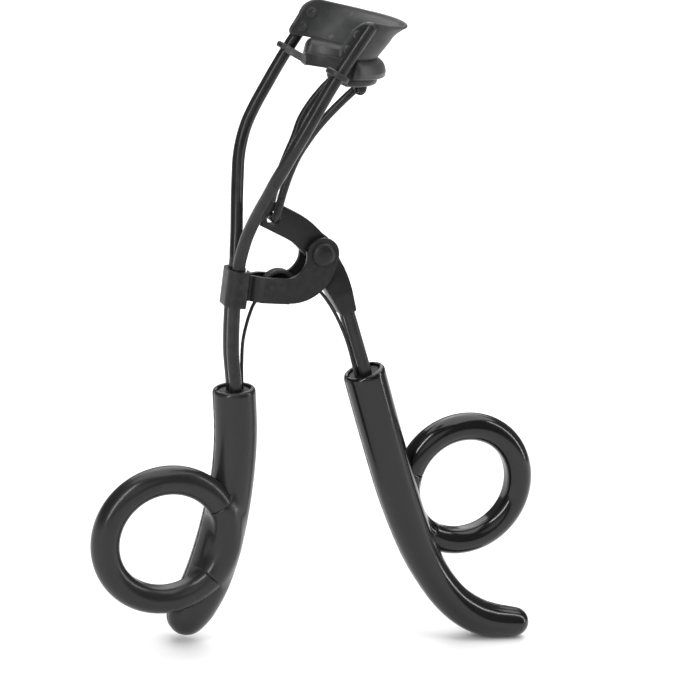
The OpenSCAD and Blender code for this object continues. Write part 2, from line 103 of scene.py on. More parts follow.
LEVER_WIRE_TOP = np.array([-3.6, 0, 68.8])
FINGER_TOP = np.array([3.2, 0, 53.6])
LEVER_DIR = (FINGER_TOP - LEVER_WIRE_TOP) / np.linalg.norm(FINGER_TOP - LEVER_WIRE_TOP)
THUMB_TOP = np.array([-21.7, 0, 49.5])
THUMB_DIR = np.array([1.4, 0, -8.5]) / math.hypot(1.4, 8.5)
PLUG_DEPTH = 9.0
THUMB_STATIONS = [(-21.7, 49.5), (-20.3, 41), (-19.8, 33), (-20.2, 25), (-21, 18),
                  (-22.3, 12), (-24, 7.4), (-25.3, 4.9)]
FINGER_STATIONS = [(3.2, 53.6), (8, 42.4), (13.6, 29.8), (19.2, 19.2), (23.9, 12.5),
                   (28.2, 8), (32.5, 5.1), (37, 3.5), (42.6, 3)]
THUMB_D = [8, 8, 8, 8.6, 8.9, 8.9, 8.6, 7.6]
FINGER_D = [8, 8, 7.8, 7.2, 6.8, 6.8, 6.9, 6.8, 5.6]
RING_HOLE_R, RING_TUBE_R = 9.1, 2.7
RING_MID_R = RING_HOLE_R + RING_TUBE_R - 0.2
# Each ring's centre, and the direction in degrees in which its handle lies.
THUMB_RING, THUMB_RING_MID = (-31.9, -2.8, 20.8), 0.0
FINGER_RING, FINGER_RING_MID = (28.2, 2.8, 30.6), 205.0
SLEEVE_GAP = 74.0


# ---------------------------------------------------------------- materials
def rgb(grey, tint=(1, 1, 1)):
    """A grey, slightly tinted, as a colour with alpha."""
    return (grey * tint[0], grey * tint[1], grey * tint[2], 1)


class Shader:
    """A node tree being built, with short calls for the nodes used here."""

    def __init__(self, name):
        self.mat = bpy.data.materials.new(name)
        self.mat.use_nodes = True
        self.tree = self.mat.node_tree
        self.bsdf = self.tree.nodes["Principled BSDF"]
        self.coords = self.tree.nodes.new("ShaderNodeTexCoord").outputs["Object"]

    def link(self, a, b):
        self.tree.links.new(a, b)

    def noise(self, scale, detail, stretch=(1, 1, 1)):
        place = self.tree.nodes.new("ShaderNodeMapping")
        place.inputs["Scale"].default_value = stretch
        self.link(self.coords, place.inputs["Vector"])
        n = self.tree.nodes.new("ShaderNodeTexNoise")
        n.inputs["Scale"].default_value = scale
        n.inputs["Detail"].default_value = detail
        n.inputs["Roughness"].default_value = 0.55
        self.link(place.outputs["Vector"], n.inputs["Vector"])
        return n.outputs["Fac"]

    def ramp(self, fac, stops):
        """fac through a ramp of two (position, colour) stops."""
        r = self.tree.nodes.new("ShaderNodeValToRGB")
        for element, (position, color) in zip(r.color_ramp.elements, stops):
            element.position, element.color = position, color
        self.link(fac, r.inputs["Fac"])
        return r.outputs["Color"]

    def mix(self, fac, a, b):
        m = self.tree.nodes.new("ShaderNodeMix")
        m.data_type = "RGBA"
        self.link(fac, m.inputs["Factor"])
        for value, socket in ((a, m.inputs["A"]), (b, m.inputs["B"])):
            if isinstance(value, tuple):
                socket.default_value = value
            else:
                self.link(value, socket)
        return m.outputs["Result"]

    def multiply(self, a, b):
        m = self.tree.nodes.new("ShaderNodeMath")
        m.operation = "MULTIPLY"
        self.link(a, m.inputs[0])
        self.link(b, m.inputs[1])
        return m.outputs["Value"]

    def remap(self, value, low, high):
        """The middle of a noise's range, 0.3 to 0.7, spread from low to high."""
        m = self.tree.nodes.new("ShaderNodeMapRange")
        m.inputs["From Min"].default_value = 0.3
        m.inputs["From Max"].default_value = 0.7
        m.inputs["To Min"].default_value = low
        m.inputs["To Max"].default_value = high
        self.link(value, m.inputs["Value"])
        return m.outputs["Result"]

    def bump(self, height, distance, strength=1.0, under=None):
        b = self.tree.nodes.new("ShaderNodeBump")
        b.inputs["Strength"].default_value = strength
        b.inputs["Distance"].default_value = distance
        self.link(height, b.inputs["Height"])
        if under is not None:
            self.link(under, b.inputs["Normal"])
        return b.outputs["Normal"]

    def edges(self, low, high):
        """1 on sharp convex edges, 0 elsewhere."""
        g = self.tree.nodes.new("ShaderNodeNewGeometry")
        return self.ramp(g.outputs["Pointiness"], [(low, rgb(0)), (high, rgb(1))])

    def gloss(self, specular, coat, coat_rough):
        self.bsdf.inputs["Specular IOR Level"].default_value = specular
        self.bsdf.inputs["Coat Weight"].default_value = coat
        self.bsdf.inputs["Coat Roughness"].default_value = coat_rough


def coated_metal(name, dark, light, worn, rough, bump_mm=0.006, coat=0.0):
    """Black coating on steel: soft mottling, fine grain, and slightly polished edges."""
    grain_mm, wear = 0.12, 0.5
    s = Shader(name)
    tone = s.ramp(s.noise(420, 5), [(0.36, rgb(dark)), (0.64, rgb(light, (0.98, 1, 1.01)))])
    patches = s.ramp(s.noise(900, 3), [(0.4, rgb(0)), (0.6, rgb(wear))])
    rub = s.multiply(s.edges(0.515, 0.6), patches)
    s.link(s.mix(rub, tone, rgb(worn)), s.bsdf.inputs["Base Color"])
    s.link(s.remap(s.noise(260, 6), *rough), s.bsdf.inputs["Roughness"])
    fine = s.bump(s.noise(1 / (grain_mm * MM), 3), bump_mm * MM)
    s.link(s.bump(s.noise(700, 3), 0.01 * MM, 0.6, fine), s.bsdf.inputs["Normal"])
    s.gloss(specular=0.22, coat=coat, coat_rough=0.2)
    return s.mat


def moulded(name, dark, light, tint, rough, coat):
    """Moulded plastic: flow marks, fine orange peel, hair scratches and a few dust specks."""
    s = Shader(name)
    tone = s.ramp(s.noise(90, 4, stretch=(1, 1, 0.35)),
                  [(0.38, rgb(dark, tint)), (0.62, rgb(light, tint))])
    dust = s.ramp(s.noise(1500, 2), [(0.71, rgb(0)), (0.78, rgb(0.35))])
    s.link(s.mix(dust, tone, rgb(light * 2.2, tint)), s.bsdf.inputs["Base Color"])
    scratch = s.noise(1100, 2, stretch=(1, 1, 0.05))
    s.link(s.remap(s.multiply(scratch, s.noise(200, 4)), *rough), s.bsdf.inputs["Roughness"])
    peel = s.bump(s.noise(650, 2), 0.012 * MM, 0.7)
    s.link(s.bump(scratch, 0.004 * MM, 0.5, peel), s.bsdf.inputs["Normal"])
    s.gloss(specular=0.24, coat=coat, coat_rough=0.12)
    return s.mat


def silicone(name):
    """The pad's matt rubber, with a dusty bloom."""
    s = Shader(name)
    tone = s.ramp(s.noise(300, 4), [(0.4, rgb(0.012)), (0.65, rgb(0.02))])
    dust = s.ramp(s.noise(2400, 3), [(0.66, rgb(0)), (0.76, rgb(0.5))])
    s.link(s.mix(dust, tone, rgb(0.06)), s.bsdf.inputs["Base Color"])
    s.link(s.remap(s.noise(500, 4), 0.38, 0.52), s.bsdf.inputs["Roughness"])
    s.link(s.bump(s.noise(4200, 3), 0.008 * MM, 0.8), s.bsdf.inputs["Normal"])
    s.bsdf.inputs["Sheen Weight"].default_value = 0.15
    s.bsdf.inputs["Sheen Roughness"].default_value = 0.4
    return s.mat


WIRE = coated_metal("coated_wire", 0.008, 0.013, 0.06, (0.24, 0.36), coat=0.1)
PLATE = coated_metal("coated_plate", 0.0085, 0.0105, 0.06, (0.34, 0.44))
JAW = coated_metal("coated_jaw", 0.030, 0.040, 0.12, (0.4, 0.52), bump_mm=0.007)
TROUGH = coated_metal("coated_trough", 0.015, 0.022, 0.08, (0.34, 0.46), bump_mm=0.007)
SPRING = coated_metal("spring_wire", 0.010, 0.015, 0.09, (0.25, 0.35))
THUMB_PLASTIC = moulded("thumb_plastic", 0.009, 0.014, (1, 1, 1.01), (0.3, 0.42), 0.15)
FINGER_PLASTIC = moulded("finger_plastic", 0.004, 0.006, (1, 1, 1.06), (0.16, 0.28), 0.25)
PLUG_PLASTIC = moulded("plug_plastic", 0.006, 0.009, (1, 1, 1), (0.5, 0.6), 0.0)
PAD = silicone("pad_silicone")


# ---------------------------------------------------------------- mesh helpers
def piece(name, verts, faces, mat, body, slot, replaces=(), sharp=38):
    """A smooth-shaded mesh piece from points in millimetres, riding on a body."""
    mesh = bpy.data.meshes.new(name)
    mesh.from_pydata([tuple(v * MM for v in p) for p in verts], [], faces)
    bm = bmesh.new()
    bm.from_mesh(mesh)
    bmesh.ops.remove_doubles(bm, verts=bm.verts, dist=0.0004 * MM)
    bmesh.ops.recalc_face_normals(bm, faces=bm.faces)
    bm.to_mesh(mesh)
    bm.free()
    mesh.shade_smooth()
    mesh.set_sharp_from_angle(angle=math.radians(sharp))
    obj = bpy.data.objects.new(name, mesh)
    bpy.context.scene.collection.objects.link(obj)
    mesh.materials.append(mat)
    if body is not None:
        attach(obj, body)
    if replaces:
        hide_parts(*replaces)
    return obj


def rings(sections):
    """Faces through equal loops of points, capped at both ends."""
    m, k = len(sections), len(sections[0])
    verts = [tuple(p) for s in sections for p in s]
    faces = []
    for i in range(m - 1):
        a, b = i * k, (i + 1) * k
        for j in range(k):
            c = (j + 1) % k
            faces.append((a + j, a + c, b + c, b + j))
    faces.append(tuple(range(k - 1, -1, -1)))
    faces.append(tuple((m - 1) * k + j for j in range(k)))
    return verts, faces


def join_parts(parts):
    """Several (verts, faces) as one."""
    verts, faces = [], []
    for v, f in parts:
        base = len(verts)
        verts += [tuple(p) for p in v]
        faces += [tuple(base + i for i in face) for face in f]
    return verts, faces


def smooth(points, n):
    """The CAD's curve through the points, n steps between neighbours."""
    p = [np.array(q, float) for q in points]
    out = []
    for i in range(len(p) - 1):
        a, b, c, d = p[max(0, i - 1)], p[i], p[i + 1], p[min(len(p) - 1, i + 2)]
        for k in range(n):
            t = k / n
            out.append(0.5 * (2 * b + (c - a) * t + (2 * a - 5 * b + 4 * c - d) * t * t
                              + (3 * b - a - 3 * c + d) * t ** 3))
    return np.array(out + [p[-1]])


def corner(a, b, c, r, n):
    """The corner at b rounded to radius r, as n + 1 points."""
    a, b, c = (np.array(q, float) for q in (a, b, c))
    u, v = (a - b) / np.linalg.norm(a - b), (c - b) / np.linalg.norm(c - b)
    half = math.acos(max(-1, min(1, float(u @ v)))) / 2
    mid = b + (u + v) / np.linalg.norm(u + v) * r / math.sin(half)
    p, q = b + u * r / math.tan(half) - mid, b + v * r / math.tan(half) - mid
    w = np.cross(np.cross(p, q), p)
    w = w / np.linalg.norm(w) * r
    return [mid + p * math.cos(s) + w * math.sin(s)
            for s in (k * (math.pi - 2 * half) / n for k in range(n + 1))]


def sweep(path, radius, sides=28, round_start=0.12, round_end=0.12):
    """A round bar along path, its ends rounded by the given radii."""
    path = np.array(path, float)
    length = np.concatenate([[0], np.cumsum(np.linalg.norm(np.diff(path, axis=0), axis=1))])
    total = length[-1]

    def quarter(r):
        """(distance from the end, bar radius) round an end of radius r."""
        steps = [1 - math.cos(math.radians(a)) for a in (0, 18, 36, 54, 72, 90)]
        return [(r * s, radius - r + r * math.sqrt(1 - (1 - s) ** 2)) for s in steps]

    head = quarter(round_start)
    tail = [(total - s, r) for s, r in quarter(round_end)][::-1]
    middle = [(s, radius) for s in length if round_start + 0.02 < s < total - round_end - 0.02]
    marks = head + middle + tail
    centre = np.array([[np.interp(s, length, path[:, k]) for k in range(3)] for s, _ in marks])
    loops, normal = [], None
    for i, (_, r) in enumerate(marks):
        t = centre[min(len(centre) - 1, i + 1)] - centre[max(0, i - 1)]
        t = t / np.linalg.norm(t)
        if normal is None:
            normal = np.array([0, 1.0, 0]) if abs(t[1]) < 0.9 else np.array([0, 0, 1.0])
        normal = normal - (normal @ t) * t
        normal = normal / np.linalg.norm(normal)
        other = np.cross(t, normal)
        r = max(r, 0.02)
        loops.append([centre[i] + r * (math.cos(a) * normal + math.sin(a) * other)
                      for a in (2 * math.pi * j / sides for j in range(sides))])
    return rings(loops)


def lathe(profile, sides):
    """A closed solid from (radius, height) points turned round local Z."""
    turn = [2 * math.pi * j / sides for j in range(sides)]
    return rings([[(r * math.cos(a), r * math.sin(a), z) for a in turn] for r, z in profile])


def pin(radius, z0, z1, sides):
    """A plain round bar along local Z."""
    return lathe([(0.02, z0), (radius, z0), (radius, z1), (0.02, z1)], sides)


def place(part, origin, z_axis):
    """Moves (verts, faces) so that its local Z lies along z_axis at origin."""
    z = Vector(z_axis).normalized()
    x = Vector((1, 0, 0))
    x = (x - x.dot(z) * z).normalized()
    y = z.cross(x)
    m = Matrix((x, y, z)).transposed()
    return [tuple(m @ Vector(v) + Vector(origin)) for v in part[0]], part[1]


def rim(cx, cz, r, a0, a1, n):
    """n + 1 points on a circle, from a0 to a1 degrees."""
    return [(cx + r * math.cos(a), cz + r * math.sin(a))
            for a in (math.radians(a0 + (a1 - a0) * k / n) for k in range(n + 1))]


def circle(cx, cy, r, n):
    """n points round a whole circle."""
    return rim(cx, cy, r, 0, 360, n)[:-1]


def applied(obj):
    """A new mesh of the object with its modifiers, or of a curve's surface."""
    bpy.context.view_layer.update()
    seen = obj.evaluated_get(bpy.context.evaluated_depsgraph_get())
    return bpy.data.meshes.new_from_object(seen)


# ---------------------------------------------------------------- wires
def frame_wire(side):
    """From its rounded end at the upper jaw down into the thumb handle."""
    line = smooth([(x, side * y, z) for x, z, y in FRAME_STATIONS], 8)
    return sweep(line, FRAME_WIRE_R, round_start=1.1, round_end=0.1)


def push_wire(side):
    """From its end outside the lug, through the lug and down to its hook in the lever's hole."""
    past_lug, lug_gap, lever_gap, hook_end_y = 0.5, 0.2, 0.25, 0.1
    bend_r = PUSH_WIRE_R + 0.1
    outer_y = TAB_Y + TAB_T / 2 + past_lug
    inner_y = TAB_Y - TAB_T / 2 - PUSH_WIRE_R - lug_gap
    hook_y = LEVER_T / 2 + PUSH_WIRE_R + lever_gap
    run = smooth([(x, side * y, z) for x, z, y in PUSH_STATIONS], 7)
    outer, inner = ((TAB_HOLE[0], side * y, TAB_HOLE[2]) for y in (outer_y, inner_y))
    hook, end = ((LINK_HOLE[0], side * y, LINK_HOLE[2]) for y in (hook_y, hook_end_y))
    line = ([np.array(outer)] + corner(outer, inner, run[0], bend_r, 8) + list(run)
            + corner(run[-1], hook, end, bend_r, 8) + [np.array(end)])
    return sweep(line, PUSH_WIRE_R, 24, round_start=0.25, round_end=0.1)


def lever_wire(side):
    """From the lever's grip down into the finger handle."""
    shift = np.array([0, side * WIRE_TOUCH, 0])
    end = FINGER_TOP + PLUG_DEPTH * LEVER_DIR
    return sweep([LEVER_WIRE_TOP + shift, FINGER_TOP + shift, end + shift], FRAME_WIRE_R)


for side, word in ((NEAR, "near"), (FAR, "far")):
    piece(f"wire_{word}", *frame_wire(side), WIRE, "frame", "coated_wire",
          [f"frame_wire_{word}"])
    piece(f"pusher_{word}", *push_wire(side), WIRE, "yoke", "coated_wire",
          [f"push_wire_{word}"])
    piece(f"lever_rod_{word}", *lever_wire(side), WIRE, "lever", "coated_wire",
          [f"lever_wire_{word}"])


# ---------------------------------------------------------------- jaws
def wire_x(z):
    """The frame wires' X at this height, along their straight top."""
    return -15.2 + (z - 109.2) * (15.2 - 9.6) / (119.8 - 109.2)


def on_arc(angle, depth, z, base, half_w):
    """A point on the jaws' curve, seen from above, moved outward by depth."""
    a = math.radians(angle)
    return (base + (JAW_BULGE + depth) * math.cos(a), (half_w + depth) * math.sin(a), z)


def end_round(angle, r):
    """How much a corner of radius r at the plate's end cuts its edge back at this angle."""
    arc = math.radians(JAW_NEAR_SPAN + angle if angle < 0 else JAW_FAR_SPAN - angle) * JAW_BULGE
    gap = max(0.0, r - arc)
    return r - math.sqrt(r ** 2 - gap ** 2)


def plate_top(angle):
    """The plate's top edge above UPPER_JAW_Z: it rises from 40 degrees on, to full at 97."""
    rise = JAW_RISE * max(0.0, (abs(angle) - 40) / 57) ** 1.3
    return UPPER_JAW_H + rise - end_round(angle, JAW_CORNER_R)


def dip(angle):
    """How far the jaws' meeting line dips at this angle."""
    return JAW_DIP * max(0.0, math.cos(math.radians(angle)))


def flare(t, angle):
    """How far the plate leans out at the share t of its height: slightly, then as a lip."""
    slight, lip_from = 0.22, 0.62
    lip = max(0.0, (t - lip_from) / (1 - lip_from)) ** 1.8
    lean = slight * min(1.0, 2 * t) + (1 - slight) * lip
    return LIP_FLARE * lean * (1 - abs(math.sin(math.radians(angle))) ** 6)


def plate_section(angle, thick):
    """(depth, height) points round the plate's sheet, thick being half its thickness here."""
    half, levels = JAW_SHEET / 2, 20
    foot = end_round(angle, JAW_FOOT_R) - dip(angle)
    z_bottom, height = UPPER_JAW_Z + foot, plate_top(angle) - foot
    z_low, z_high = z_bottom + half, z_bottom + height - half

    def lean(z):
        return flare((z - z_bottom) / height, angle)

    line = [z_low + (z_high - z_low) * k / levels for k in range(levels + 1)]
    outline = [(half + thick + lean(z), z) for z in line]
    outline += [(x + lean(z_high), z) for x, z in rim(half, z_high, thick, 20, 160, 7)]
    outline += [(half - thick + lean(z), z) for z in reversed(line)]
    return outline + rim(half, z_low, thick, 200, 340, 7)


def upper_jaw():
    """The plate, with rolled edges, a flared lip and rounded corners."""
    half, steps, end_r, thinnest = JAW_SHEET / 2, 160, 0.38, 0.06
    loops = []
    for i in range(steps + 1):
        a = -JAW_NEAR_SPAN + (JAW_NEAR_SPAN + JAW_FAR_SPAN) * i / steps
        from_end = math.radians(min(a + JAW_NEAR_SPAN, JAW_FAR_SPAN - a)) * JAW_BULGE
        thick = half
        if from_end < end_r:
            across = math.sqrt(end_r ** 2 - (end_r - from_end) ** 2)
            thick = max(thinnest, across * half / end_r)
        loops.append([on_arc(a, d, z, wire_x(z), JAW_HALF_W) for d, z in plate_section(a, thick)])
    return rings(loops)


RIVETS_UP, RIVETS_BACK = (1.7, 4.4), 0.85
RIVET_HEAD = [(0.02, -0.3), (1.0, -0.15), (1.0, 0.1), (0.93, 0.2), (0.8, 0.24), (0.7, 0.2),
              (0.02, 0.2)]
RIVET_SHANK = [(0.02, 0), (0.8, 0), (0.8, 1.15), (0.75, 1.25), (0.02, 1.25)]


def jaw_rivets():
    """Flat heads on the plate's inner face, and their ends on the wires' outer side."""
    parts = []
    for side in (NEAR, FAR):
        for up in RIVETS_UP:
            z = UPPER_JAW_Z + up
            at = (wire_x(z) - RIVETS_BACK, side * JAW_HALF_W, z)
            parts.append(place(lathe(RIVET_HEAD, 40), at, (0, -side, 0)))
            parts.append(place(lathe(RIVET_SHANK, 32), at, (0, side, 0)))
    return join_parts(parts)


TROUGH_BASE = wire_x(UPPER_JAW_Z) - 0.2


def trough():
    """The channel under the pad, with rolled rims, and its outer wall lower."""
    steps = 120
    d0, d1 = PAD_MID - TROUGH_W / 2, PAD_MID + TROUGH_W / 2
    t, z0, r, bend_r = JAW_SHEET, TROUGH_Z, JAW_SHEET / 2, 0.5
    outline = rim(d1 - bend_r, z0 + bend_r, bend_r, -90, 0, 6)
    outline += rim(d1 - r, z0 + OUTER_WALL_H - r + 0.05, r, 0, 180, 8)
    outline += [(d1 - t, z0 + t + 0.05), (d1 - t - 0.05, z0 + t), (d0 + t + 0.05, z0 + t),
                (d0 + t, z0 + t + 0.05)]
    outline += rim(d0 + r, z0 + TROUGH_H - r, r, 0, 180, 8)
    outline += rim(d0 + bend_r, z0 + bend_r, bend_r, 180, 270, 6)
    loops = []
    for i in range(steps + 1):
        a = TROUGH_SPAN * (2 * i / steps - 1)
        loops.append([on_arc(a, d, z, TROUGH_BASE, TROUGH_HALF_W) for d, z in outline])
    return rings(loops)


def slab(outline, holes, z0, z1, edge, name):
    """A plate from z0 to z1 with holes and rounded edges, as (verts, faces)."""
    curve = bpy.data.curves.new(name, "CURVE")
    curve.dimensions = "2D"
    curve.fill_mode = "BOTH"
    curve.extrude = (z1 - z0) / 2 - edge
    curve.bevel_depth = edge
    curve.bevel_resolution = 2
    curve.offset = -edge
    for loop in [outline] + list(holes):
        line = curve.splines.new("POLY")
        line.points.add(len(loop) - 1)
        for point, (x, y) in zip(line.points, loop):
            point.co = (x, y, 0, 1)
        line.use_cyclic_u = True
    obj = bpy.data.objects.new(name, curve)
    bpy.context.scene.collection.objects.link(obj)
    mesh = applied(obj)
    verts = [(v.co.x, v.co.y, v.co.z + (z0 + z1) / 2) for v in mesh.vertices]
    faces = [tuple(f.vertices) for f in mesh.polygons]
    bpy.data.objects.remove(obj)
    bpy.data.curves.remove(curve)
    bpy.data.meshes.remove(mesh)
    return verts, faces


EAR_MIDDLE = (-14.72, 110.2)
EAR_IN_Y, EAR_OUT_Y, EAR_T = 11.65, 15.9, 1.1
EAR_FRONT, EAR_BACK = 1.9, 2.2
EAR_STRIP, EAR_STRIP_H = [(-1.2, 11.7), (2.4, 8.85), (2.4, 9.45), (-0.7, 12.2)], 1.4
LUG_R = 1.15


def ear(side):
    """An eyelet square to the frame wire that passes through it, and its strip to the trough."""
    front_r, back_r = 1.0, 1.4
    loop = rim(EAR_FRONT - front_r, EAR_IN_Y + front_r, front_r, 270, 360, 6)
    loop += rim(0, EAR_OUT_Y - EAR_FRONT, EAR_FRONT, 0, 90, 12)
    loop += rim(0, EAR_OUT_Y - EAR_BACK, EAR_BACK, 90, 180, 14)
    loop += rim(back_r - EAR_BACK, EAR_IN_Y + back_r, back_r, 180, 270, 8)
    hole = circle(0, HEAD_HALF_GAP, FRAME_WIRE_R + 0.35, 40)
    plate = slab(loop, [hole], -EAR_T / 2, EAR_T / 2, 0.3, "ear")
    strip = slab(EAR_STRIP, [], EAR_T / 2 - EAR_STRIP_H, EAR_T / 2, 0.15, "strip")
    tilt = math.radians(90 - SLIDE_ANGLE)
    c, s = math.cos(tilt), math.sin(tilt)
    verts, faces = join_parts([plate, strip])
    return [(EAR_MIDDLE[0] + c * x + s * z, side * y, EAR_MIDDLE[1] - s * x + c * z)
            for x, y, z in verts], faces


def lug(side):
    """The tab that a push wire turns in, its top let into the trough."""
    x, z = TAB_HOLE[0], TAB_HOLE[2]
    top = TROUGH_Z + 0.4
    loop = rim(x, z, LUG_R, 180, 360, 23) + [(x + LUG_R, top), (x - LUG_R, top)]
    hole = circle(x, z, PUSH_WIRE_R + 0.05, 32)
    verts, faces = slab(loop, [hole], -TAB_T / 2, TAB_T / 2, 0.14, "lug")
    return [(u, side * TAB_Y - w, v) for u, v, w in verts], faces


def lash_pad():
    """The silicone strip: held in the trough, bulging over its outer wall, and crowned."""
    z0, top = TROUGH_Z + JAW_SHEET + 0.02, UPPER_JAW_Z + 0.05
    lip_z = TROUGH_Z + OUTER_WALL_H + 0.1
    inner, outer = PAD_MID - PAD_W / 2 + 0.02, PAD_MID + PAD_W / 2 - 0.02
    swell = smooth([(outer + 0.1, lip_z), (outer + JAW_SHEET, lip_z + 0.02),
                    (2.85, lip_z + 0.08), (3.0, lip_z + 0.6), (2.95, lip_z + 1.3),
                    (2.4, top - 0.75), (1.3, top), (-0.2, top - 0.1), (inner, top - 1.0)], 5)
    outline = [(outer, z0)] + [tuple(q) for q in swell] + [(inner, z0)]
    steps, span, end_r = 130, TROUGH_SPAN - 1, 1.3
    dip_z = lip_z + 0.8
    loops = []
    for i in range(steps + 1):
        a = span * (2 * i / steps - 1)
        from_end = (span - abs(a)) * math.pi / 180 * (TROUGH_HALF_W * 0.9)
        grow = 1.0
        if from_end < end_r:
            grow = max(0.05, math.sqrt(max(0.0, 1 - (1 - from_end / end_r) ** 2)))
        loop = []
        for d, z in outline:
            d = PAD_MID + (d - PAD_MID) * (0.6 + 0.4 * grow)
            z = z0 + (z - z0) * (0.5 + 0.5 * grow)
            z -= dip(a) * max(0.0, (z - dip_z) / (top - dip_z))
            loop.append(on_arc(a, d, z, TROUGH_BASE, TROUGH_HALF_W))
        loops.append(loop)
    return rings(loops)


piece("upper_jaw_plate", *upper_jaw(), JAW, "frame", "coated_jaw", ["upper_jaw"])
piece("upper_jaw_rivets", *jaw_rivets(), JAW, "frame", "coated_jaw", ["jaw_rivets"])
piece("lower_jaw_trough", *join_parts([trough(), ear(NEAR), ear(FAR), lug(NEAR), lug(FAR)]),
      TROUGH, "jaw", "coated_jaw", ["lower_jaw"])
lash = piece("silicone_pad", *lash_pad(), PAD, "jaw", "pad_silicone", ["lash_pad"], sharp=60)


# ---------------------------------------------------------------- bracket, lever and rivet
def bevelled(node, width, mat):
    """A CAD node kept in its shape, with softened edges and its material."""
    obj = NODES[node]
    weld = obj.modifiers.new("weld", "WELD")
    weld.merge_threshold = 0.002 * MM
    bevel = obj.modifiers.new("bevel", "BEVEL")
    bevel.width = width * MM
    bevel.segments = 3
    bevel.limit_method = "ANGLE"
    bevel.angle_limit = math.radians(35)
    obj.modifiers.new("normals", "WEIGHTED_NORMAL").keep_sharp = True
    for i in range(len(obj.data.materials)):
        obj.material_slots[i].material = mat
    if not obj.material_slots:
        obj.data.materials.append(mat)


bevelled("hinge_bracket", 0.14, PLATE)

# The arm's middle line, from the link hole's end, over the pivot, down to the grip's end.
LEVER_LINE = smooth([(-22.2, 83.3), (-19.6, 82.3), (-17, 81.25), (-13.5, 79.75), (-11.2, 78.1),
                     (-8.7, 75.8), (-6.9, 73.1), (-5.3, 70.9), (-4.2, 69), (-2.85, 66.5),
                     (-1.95, 64.8)], 8)
ARM_REACH, ARM_W, ARM_BEND_Z = 13.8, 5.0, 76.0
GRIP_T, GRIP_END_Z, GRIP_END_W, GRIP_FLARE_W, GRIP_FLARE_H = 5.0, 64.8, 2.9, 2.4, 7.0
GRIP_THICKENS_Z, GRIP_THICKENS_H = 72.5, 4.5
LINK_HOLE_R = 1.3


def lever_width(z):
    """The arm's width in the plane of the handles, least at the grip's lower end."""
    if z > ARM_BEND_Z:
        return ARM_W
    return GRIP_END_W + GRIP_FLARE_W * min(1.0, max(0.0, (z - GRIP_END_Z) / GRIP_FLARE_H))


def lever_thickness(z):
    """The arm's thickness along Y, eased from the flat arm to the grip."""
    t = min(1.0, max(0.0, (GRIP_THICKENS_Z - z) / GRIP_THICKENS_H))
    return LEVER_T + (GRIP_T - LEVER_T) * t * t * (3 - 2 * t)


def lever():
    """The arm, which thickens smoothly into the grip that holds the two wires."""
    pivot = np.array([PIVOT[0], PIVOT[2]])
    line = [q for q in LEVER_LINE if q[1] < 78 or np.linalg.norm(q - pivot) < ARM_REACH]
    edge_r, end_r = 0.25, 0.3
    loops = []
    for i, q in enumerate(line):
        ahead, behind = line[min(i + 1, len(line) - 1)], line[max(i - 1, 0)]
        along = (ahead - behind) / np.linalg.norm(ahead - behind)
        from_end = min(np.linalg.norm(q - line[0]), np.linalg.norm(q - line[-1]))
        shrink = end_r - math.sqrt(max(0.0, end_r ** 2 - max(0.0, end_r - from_end) ** 2))
        a, b = lever_width(q[1]) / 2 - shrink, lever_thickness(q[1]) / 2 - shrink
        section = []
        for ca, cb, start in ((1, 1, 0), (-1, 1, 90), (-1, -1, 180), (1, -1, 270)):
            section += rim(ca * (a - edge_r), cb * (b - edge_r), edge_r, start, start + 90, 4)
        loops.append([(q[0] - along[1] * u, v, q[1] + along[0] * u) for u, v in section])
    return rings(loops)


def mesh_object(name, verts, faces):
    """A bare object for a boolean, from points in millimetres."""
    mesh = bpy.data.meshes.new(name)
    mesh.from_pydata([(x * MM, y * MM, z * MM) for x, y, z in verts], [], faces)
    obj = bpy.data.objects.new(name, mesh)
    bpy.context.scene.collection.objects.link(obj)
    return obj


def drilled(solid, drill):
    """The first (verts, faces) less the second."""
    body, cutter = mesh_object("body", *solid), mesh_object("cutter", *drill)
    cut = body.modifiers.new("cut", "BOOLEAN")
    cut.operation, cut.solver, cut.object = "DIFFERENCE", "EXACT", cutter
    mesh = applied(body)
    out = [tuple(v.co / MM) for v in mesh.vertices], [tuple(f.vertices) for f in mesh.polygons]
    for obj in (body, cutter):
        data = obj.data
        bpy.data.objects.remove(obj)
        bpy.data.meshes.remove(data)
    bpy.data.meshes.remove(mesh)
    return out


LINK_DRILL = place(pin(LINK_HOLE_R, -4, 4, 48), LINK_HOLE, (0, 1, 0))
piece("lever_arm", *drilled(lever(), LINK_DRILL), PLATE, "lever", "coated_plate",
      ["lever_plate"])


RIVET_DOME = [(0.02, -0.02), (2.25, -0.02), (2.25, 0.12), (2.19, 0.3), (2.02, 0.52), (1.75, 0.74),
              (1.4, 0.92), (0.95, 1.04), (0.5, 1.09), (0.02, 1.1)]


def pivot_rivet():
    """The pin through the bracket's cheeks, with a domed head on each."""
    cheek_y, cheek_t = 1.8, 0.8
    out = cheek_y + cheek_t
    parts = [place(pin(1.5, -out, out, 48), PIVOT, (0, 1, 0))]
    for side in (NEAR, FAR):
        at = (PIVOT[0], side * out, PIVOT[2])
        parts.append(place(lathe(RIVET_DOME, 56), at, (0, side, 0)))
    return join_parts(parts)


piece("rivet", *pivot_rivet(), PLATE, "frame", "coated_plate", ["pivot_rivet"])


